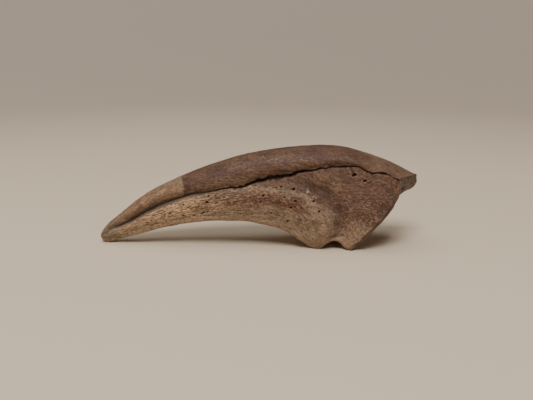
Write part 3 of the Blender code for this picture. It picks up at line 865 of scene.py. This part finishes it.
def relief(data):
    """Move the surface in and out, and store what the material needs for each vertex."""
    co, out, grain, off = surface(data)
    rim, joint = (read(data.attributes[name].data, "value", 1) for name in ("rim", "joint"))
    x, y, z = co.T
    marks = zones(co, grain, out, off, rim, joint)
    flank = marks["low"] * (1 - marks["base"]) * (1 - marks["belly"]) * (1 - marks["rim"])
    bone = (1 - marks["joint"]) * (1 - marks["sponge"])
    crown = (1 - marks["low"]) * bone
    inner = ramp(2.2 * average(data, joint[:, None], EDGE_ROUNDS)[:, 0] - 1.1) * marks["sponge"]

    height = lumps(x, grain, flank, crown)
    darkness = np.zeros(len(x))
    for rise, dark, found in (
        flank_pores(x, off, grain, flank, marks["margin"]),
        base_fibres(co, grain, marks),
        shoulder(x, y, z, grain, marks["low"]),
        broken_lip(co, marks, inner),
    ):
        height += rise
        darkness += dark
        marks.update(found)
    seam = seam_distance(co)
    height += SEAM_STEP * fading(seam, SEAM_REACH) - SEAM_DEPTH * bell(seam, SEAM_WIDTH)

    pits = np.maximum(pit_depth(x, y, z), hairline_depth(x, y, z))
    crack = fissure(co, off) * bone
    grit = sand(x, y, z)
    height = height * calmness(crack, z, grain[:, 0], marks["belly"]) - pits + SAND_HEIGHT * grit
    sideways = np.stack([0 * x, np.sign(y), 0 * x], axis=1)
    crack_way = sideways + ramp(x, *CRACK_TURN)[:, None] * (out - sideways)
    moved = co + out * height[:, None] - crack_way * np.minimum(crack, 0.8 * np.abs(y))[:, None]
    moved[:, 2] = np.maximum(moved[:, 2], 0.0)
    set_coordinates(data, moved)

    filler = fading(seam, FILLER_REACH) * ramp(off, *FILLER_FOOT)
    marks.update({
        "groove": groove_shade(x, off) * (1 - joint),
        # Crack and pits painted dark by depth: dark fill and painted shade in the crack, painted shade
        # in the pits.
        "dark": np.clip(np.maximum(crack / BLACK_CRACK, pits / BLACK_PIT), 0, 1),
        # Darkness of the slits, holes, splits, spongy pores and the dint: painted shade in these
        # hollows.
        "pore": np.clip(darkness, 0, 1),
        "grit": grit,
        "ahead": ramp(seam, *SEAM_EDGE),
        "filler": filler * ramp(0.5 + 1.2 * layered(moved, 1.4, 87)),
        "bloom_and_sheen": bloom_and_sheen_at(x, y, z) * crown,
    })
    for name, values in marks.items():
        write(data, name, values)


def wear_highlight_and_shade(data):
    """Store how proud or sunken each vertex is against its neighbours, less proud beside the crack:
    proud places get paler wear and painted highlight, sunken ones painted shade.
    """
    co, out, grain, off = surface(data)
    proud = np.sum((co - average(data, co, PROUD_ROUNDS)) * out, axis=1)
    beside = ramp(np.abs(off), 1.9, 1.1) * ramp(grain[:, 0], *BESIDE_CRACK)
    proud = np.where(proud > 0, proud * (1 - 0.85 * beside), proud)
    write(data, "proud", np.clip(0.5 + proud / PROUD_RANGE, 0, 1))


def soften(data, rounds):
    """Wear the tip and the edges of the broken lip round."""
    co = read(data.vertices, "co")
    x, y, z = co.T
    lip = ramp(x - 0.25 * y, 110.5, 113.5) * ramp(z, LIP_FOOT, LIP_FOOT + 1.5)
    share = np.maximum(lip, ramp(x, 3.4, 1.4))[:, None]
    set_coordinates(data, average(data, co, rounds, 0.6 * share))


class Graph:
    """Short ways to add the nodes of one material."""

    def __init__(self, name):
        self.material = bpy.data.materials.new(name)
        self.material.use_nodes = True
        self.nodes = self.material.node_tree.nodes
        self.shader = self.nodes["Principled BSDF"]

    def add(self, kind, **settings):
        node = self.nodes.new("ShaderNode" + kind)
        for name, value in settings.items():
            setattr(node, name, value)
        return node

    def put(self, value, socket):
        """Set the socket to a number or a colour, or link an output or a named attribute to it."""
        if isinstance(value, float):
            socket.default_value = value
        elif isinstance(value, tuple):
            socket.default_value = (*value, 1.0)
        else:
            source = self.attribute(value) if isinstance(value, str) else value
            self.material.node_tree.links.new(source, socket)

    def attribute(self, name, output="Fac"):
        return self.add("Attribute", attribute_name=name).outputs[output]

    def math(self, operation, first, second):
        node = self.add("Math", operation=operation)
        self.put(first, node.inputs[0])
        self.put(second, node.inputs[1])
        return node.outputs[0]

    def times(self, first, second):
        return self.math("MULTIPLY", first, second)

    def plus(self, first, second):
        return self.math("ADD", first, second)

    def mix(self, share, first, second, kind="MIX"):
        node = self.add("Mix", data_type="RGBA", blend_type=kind)
        self.put(share, node.inputs["Factor"])
        for value, socket in zip((first, second), (s for s in node.inputs if s.type == "RGBA")):
            self.put(value, socket)
        return next(s for s in node.outputs if s.type == "RGBA")

    def coats(self, tone, *layers):
        """A colour with others laid over it in turn, each by the product of its shares."""
        for colour, share, *others in layers:
            for other in others:
                share = self.times(share, other)
            tone = self.mix(share, tone, colour)
        return tone

    def texture(self, kind, output, vector, scale, **inputs):
        """A texture of a vector, with so many grains to the millimetre on each axis."""
        stretch = self.add("Mapping")
        self.put(vector, stretch.inputs["Vector"])
        stretch.inputs["Scale"].default_value = scale
        node = self.add(kind)
        self.put(stretch.outputs["Vector"], node.inputs["Vector"])
        for name, value in {"Scale": 1.0, **inputs}.items():
            node.inputs[name].default_value = value
        return node.outputs[output]

    def noise(self, vector, scale, detail=4.0, roughness=0.6):
        return self.texture("TexNoise", "Fac", vector, scale, Detail=detail, Roughness=roughness)

    def cells(self, vector, scale):
        """Distance to the nearest of scattered points, in cells."""
        return self.texture("TexVoronoi", "Distance", vector, scale)

    def range(self, value, low, high, to_low=0.0, to_high=1.0):
        """Value between two limits brought smoothly to two others, usually 0 and 1."""
        node = self.add("MapRange", interpolation_type="SMOOTHSTEP")
        self.put(value, node.inputs["Value"])
        names = ("From Min", "From Max", "To Min", "To Max")
        for name, number in zip(names, (low, high, to_low, to_high)):
            node.inputs[name].default_value = number
        return node.outputs["Result"]


# Colours of the bone, as linear red, green and blue. The dark colours also serve as painted shade, and
# the bloom grey partly as painted sheen.
BROWN = (0.13, 0.068, 0.04)
PLUM = (0.082, 0.04, 0.028)
PALE_BROWN = (0.215, 0.13, 0.085)
BLOOM_AND_SHEEN_GREY = (0.2, 0.138, 0.112)
TAN = (0.31, 0.212, 0.145)
ORANGE = (0.465, 0.29, 0.17)
OLIVE = (0.275, 0.2, 0.128)
OCHRE = (0.252, 0.174, 0.118)
DARK_OLIVE = (0.16, 0.112, 0.072)
DULL_OLIVE = (0.192, 0.143, 0.094)
MID_OLIVE = (0.222, 0.163, 0.106)
RED = (0.11, 0.046, 0.029)
PINK = (0.36, 0.218, 0.145)
FILLER = (0.25, 0.185, 0.118)
GREY_GREEN = (0.14, 0.113, 0.09)
BASE_DARK = (0.1, 0.052, 0.034)
BASE_PALE = (0.25, 0.155, 0.105)
FRONT_BROWN = (0.195, 0.118, 0.07)
FRONT_TAN = (0.305, 0.192, 0.115)
RIM_SHADE = (0.07, 0.042, 0.034)
SAND_PALE = (0.32, 0.245, 0.18)
SHADE = (0.058, 0.047, 0.044)
NIGHT = (0.037, 0.021, 0.017)
WHITE = (1.0, 1.0, 1.0)

# Gloss of the bone, and how deep in metres and how strong its finest grain is.
GLOSS = 0.34
BUMP_DEPTH = 0.00018
BUMP_STRENGTH = 0.9


def bone_patterns(g):
    """The noises that all parts of the bone share, along its grain or along the fan of the base."""
    grain, fan = g.attribute("grain", "Vector"), g.attribute("fan", "Vector")
    return SimpleNamespace(
        broad=g.noise(grain, (0.1, 0.2, 0.2)),
        patchy=g.noise(grain, (0.3, 0.6, 0.6), 5.0, 0.65),
        mottle=g.noise(grain, (0.9, 1.5, 1.5), 3.0, 0.6),
        fine=g.noise(grain, (2.0, 4.0, 4.0), 3.0, 0.6),
        along_grain=g.noise(grain, (0.26, 3.0, 3.0), 4.0, 0.62),
        along_fan=g.noise(fan, (0.8, 3.0, 1.3), 4.0, 0.65),
        dots=g.cells(grain, (0.62, 0.95, 0.95)),
        slits=g.cells(grain, (0.27, 1.6, 1.2)),
        flecks=g.cells(fan, (0.55, 1.9, 1.0)),
    )


def back_tone(g, p):
    """Dark smooth back, pale and worn ahead of the repair."""
    front = g.coats(
        g.mix(g.range(p.patchy, 0.38, 0.66), FRONT_BROWN, FRONT_TAN),
        (DULL_OLIVE, "point", 0.8),
    )
    return g.coats(
        g.mix(g.range(p.broad, 0.4, 0.62), PLUM, BROWN),
        (DARK_OLIVE, g.range(p.patchy, 0.52, 0.7, 0.0, 0.55)),
        (PLUM, g.range(p.along_grain, 0.55, 0.4, 0.0, 0.5)),
        (DARK_OLIVE, "band", g.range(p.mottle, 0.35, 0.6, 0.1, 0.7)),
        # Paler grey patches of the back: partly the bone's bloom, partly painted sheen.
        (BLOOM_AND_SHEEN_GREY, "bloom_and_sheen", g.range(p.along_grain, 0.46, 0.64, 0.0, 0.6)),
        (PALE_BROWN, "rear_back", 0.55),
        (front, "ahead", 0.9),
    )


def base_tone(g, p):
    """Dark fibres of the base, flecked with pale ones, and ochre at the foot."""
    return g.coats(
        g.mix(g.range(p.along_fan, 0.48, 0.7), BASE_DARK, BASE_PALE),
        (BASE_PALE, g.range(p.flecks, 0.34, 0.18), g.range(p.mottle, 0.42, 0.56, 0.0, 0.8)),
        (BROWN, "smooth_base", 0.5),
        (PLUM, g.range(p.broad, 0.42, 0.62, 0.0, 0.4)),
        (g.mix(g.range(p.along_fan, 0.3, 0.7), OCHRE, TAN), "foot", 0.8),
    )


def flank_tone(g, p):
    """Tan slotted front part, reddish middle, and dark torn bone above the shoulder."""
    return g.coats(
        g.mix(g.range(p.patchy, 0.38, 0.6), DARK_OLIVE, OCHRE),
        (RED, "red", g.range(p.mottle, 0.66, 0.46, 0.3, 1.0)),
        (g.mix(g.range(p.along_grain, 0.4, 0.58), OLIVE, ORANGE), "distal"),
        (g.mix("distal", MID_OLIVE, OLIVE), "margin", 0.9),
        (DULL_OLIVE, "point", 0.85),
        (g.mix(g.range(p.patchy, 0.4, 0.6), PLUM, BROWN), "torn", 0.78),
        (base_tone(g, p), "base"),
    )


def lip_tone(g, p):
    """Grey-green spongy bone of the broken lip."""
    return g.coats(
        g.mix(g.range(p.mottle, 0.42, 0.6), GREY_GREEN, DARK_OLIVE),
        (PLUM, g.range(p.patchy, 0.56, 0.44, 0.0, 0.7)),
    )


def fossil_bone():
    """Mineralised bone: dark smooth back, tan slotted tip, reddish flank and a nearly black fissure."""
    g = Graph("fossil_bone")
    p = bone_patterns(g)
    tone = g.coats(
        back_tone(g, p),
        (flank_tone(g, p), "low"),
        (DULL_OLIVE, "belly"),
        (FILLER, "filler", 0.55),
        (PINK, "ledge", 0.34),
        (g.mix(g.range(p.patchy, 0.4, 0.6), BROWN, DARK_OLIVE), "joint"),
        # Painted shade on the worn bevel along the rear rim.
        (RIM_SHADE, "rim", 0.9),
    )
    threads = g.mix("base", p.along_grain, p.along_fan)
    for pattern in (
        g.coats(g.range(threads, 0.28, 0.72, 0.62, 1.38), (WHITE, "base", 0.3)),
        g.range(p.mottle, 0.28, 0.72, 0.74, 1.26),
        g.range(p.fine, 0.28, 0.72, 0.74, 1.26),
    ):
        tone = g.mix(1.0, tone, pattern, "MULTIPLY")
    specks = g.times(g.range(p.dots, 0.34, 0.2), g.range(p.mottle, 0.36, 0.52))
    slotted = g.times("slotted", g.range(p.mottle, 0.3, 0.44))
    cuts = g.times(slotted, g.range(p.slits, 0.36, 0.22))
    tone = g.coats(
        tone,
        # Proud places paler, partly wear and partly painted highlight; sunken places darker as painted
        # shade.
        (PINK, g.range("proud", 0.6, 0.98, 0.0, 0.3)),
        (NIGHT, g.range("proud", 0.44, 0.08, 0.0, 0.55)),
        (NIGHT, specks, g.times("low", 0.75)),
        (ORANGE, slotted, g.range(p.slits, 0.52, 0.38, 0.0, 0.5)),
        (NIGHT, cuts, 0.95),
        (lip_tone(g, p), "sponge"),
        # Painted shade in the slits, holes, splits, pores and the dint.
        (NIGHT, "pore", 0.7),
        # Painted shade in the smooth part of the groove.
        (SHADE, "groove", 0.68),
        # Painted shade, with dark fill in the crack, in the deep crack and the pits.
        (NIGHT, g.range("dark", 0.15, 0.9, 0.0, 0.95)),
        (SAND_PALE, g.range("grit", 0.1, 0.5)),
    )
    g.put(tone, g.shader.inputs["Base Color"])

    dull = g.plus(g.range("low", 0.0, 1.0, 0.56, 0.66), g.times("dark", 0.35))
    g.put(g.plus(dull, g.range(p.fine, 0.3, 0.7, -0.06, 0.08)), g.shader.inputs["Roughness"])
    g.shader.inputs["Specular IOR Level"].default_value = GLOSS

    bump = g.add("Bump")
    bump.inputs["Distance"].default_value = BUMP_DEPTH
    bump.inputs["Strength"].default_value = BUMP_STRENGTH
    rough = g.plus(g.times(p.fine, 0.8), g.times(threads, 0.6))
    g.put(g.plus(rough, g.times(cuts, -0.7)), bump.inputs["Height"])
    g.put(bump.outputs["Normal"], g.shader.inputs["Normal"])
    return g.material


def add_object(name, data):
    obj = bpy.data.objects.new(name, data)
    bpy.context.scene.collection.objects.link(obj)
    return obj


def make_claw():
    """The dressed claw, in the place of the solid one."""
    data = raw_claw()
    soften(data, SOFTENING)
    relief(data)
    soften(data, LAST_SOFTENING)
    wear_highlight_and_shade(data)
    co = read(data.vertices, "co")
    middle = (co.min(axis=0) + co.max(axis=0)) / 2
    centre = (LOW + HIGH) / 2
    co = (co - np.array([middle[0], middle[1], 0.0])) * MM + np.array([centre.x, centre.y, LOW.z])
    set_coordinates(data, co)
    data.shade_smooth()
    data.materials.append(fossil_bone())
    return add_object("claw_bone", data)


# Camera: a plain lens, a little above the surface, square to the claw's near flank.
CAMERA_DISTANCE = 0.2802
CAMERA_RISE = radians(14.5)
AIM_FROM_TIP = 0.0634
AIM_HEIGHT = 0.0164


def add_camera():
    camera = add_object("camera", bpy.data.cameras.new("camera"))
    camera.data.lens = 50
    camera.data.sensor_width = 36
    camera.data.clip_start = 0.01
    aim = Vector((LOW.x + AIM_FROM_TIP, 0, AIM_HEIGHT))
    back = Vector((0, -cos(CAMERA_RISE), sin(CAMERA_RISE)))
    camera.location = aim + back * CAMERA_DISTANCE
    camera.rotation_euler = (-back).to_track_quat("-Z", "Y").to_euler()
    bpy.context.scene.camera = camera


# Stage: a wide pale sheet of paper whose edge curves up all around, far from the claw.
PAPER = (0.74, 0.625, 0.495)
# Painted shade: the paper darkens towards its edge, between these distances in metres.
PAPER_EDGE_SHADE = (0.48, 0.415, 0.355)
EDGE_FROM, EDGE_TO = 0.09, 0.64
FLAT_RADIUS = 0.42
SWEEP_RADIUS = 0.3
SWEEP_STEPS = 16
WALL_HEIGHT = 0.34
ROUND_STEPS = 96


def paper():
    """Matt paper, with painted shade making it a little darker towards its edge."""
    g = Graph("paper")
    distance = g.add("VectorMath", operation="LENGTH")
    g.put(g.add("TexCoord").outputs["Object"], distance.inputs[0])
    share = g.range(distance.outputs["Value"], EDGE_FROM, EDGE_TO)
    g.put(g.mix(share, PAPER, PAPER_EDGE_SHADE), g.shader.inputs["Base Color"])
    g.shader.inputs["Roughness"].default_value = 0.8
    return g.material


def add_floor():
    """Floor and backdrop in one turned sheet."""
    turns = [pi / 2 * i / SWEEP_STEPS for i in range(SWEEP_STEPS + 1)]
    sweep = [(FLAT_RADIUS + SWEEP_RADIUS * sin(a), SWEEP_RADIUS * (1 - cos(a))) for a in turns]
    profile = [(0.0, 0.0), *sweep, (FLAT_RADIUS + SWEEP_RADIUS, WALL_HEIGHT)]
    mesh = bmesh.new()
    points = [mesh.verts.new((radius, 0, rise)) for radius, rise in profile]
    edges = [mesh.edges.new(pair) for pair in zip(points, points[1:])]
    bmesh.ops.spin(
        mesh, geom=points + edges, cent=(0, 0, 0), axis=(0, 0, 1), angle=2 * pi, steps=ROUND_STEPS,
    )
    bmesh.ops.remove_doubles(mesh, verts=mesh.verts, dist=0.00001)
    data = bpy.data.meshes.new("floor")
    mesh.to_mesh(data)
    mesh.free()
    data.shade_smooth()
    data.materials.append(paper())
    add_object("floor", data)


# Lamps: name, place, width in metres and power, both square, soft and aimed at the claw.
LAMPS = (
    ("front", (-0.1, -0.6, 0.93), 0.5, 10.3),
    ("behind", (-0.16, 0.09, 0.98), 0.9, 3.9),
)
LAMP_COLOUR = (1.0, 0.955, 0.89)
ROOM = (0.7, 0.66, 0.62)
ROOM_STRENGTH = 0.03


def add_light():
    for name, spot, width, power in LAMPS:
        lamp = bpy.data.lights.new(name, "AREA")
        lamp.size = width
        lamp.energy = power
        lamp.color = LAMP_COLOUR
        obj = add_object(name, lamp)
        obj.location = spot
        obj.rotation_euler = (-Vector(spot)).to_track_quat("-Z", "Y").to_euler()
    world = bpy.data.worlds.new("room")
    world.use_nodes = True
    sky = world.node_tree.nodes["Background"]
    sky.inputs["Color"].default_value = (*ROOM, 1.0)
    sky.inputs["Strength"].default_value = ROOM_STRENGTH
    bpy.context.scene.world = world


claw = make_claw()
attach(claw, "root")
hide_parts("claw")
add_camera()
add_floor()
add_light()
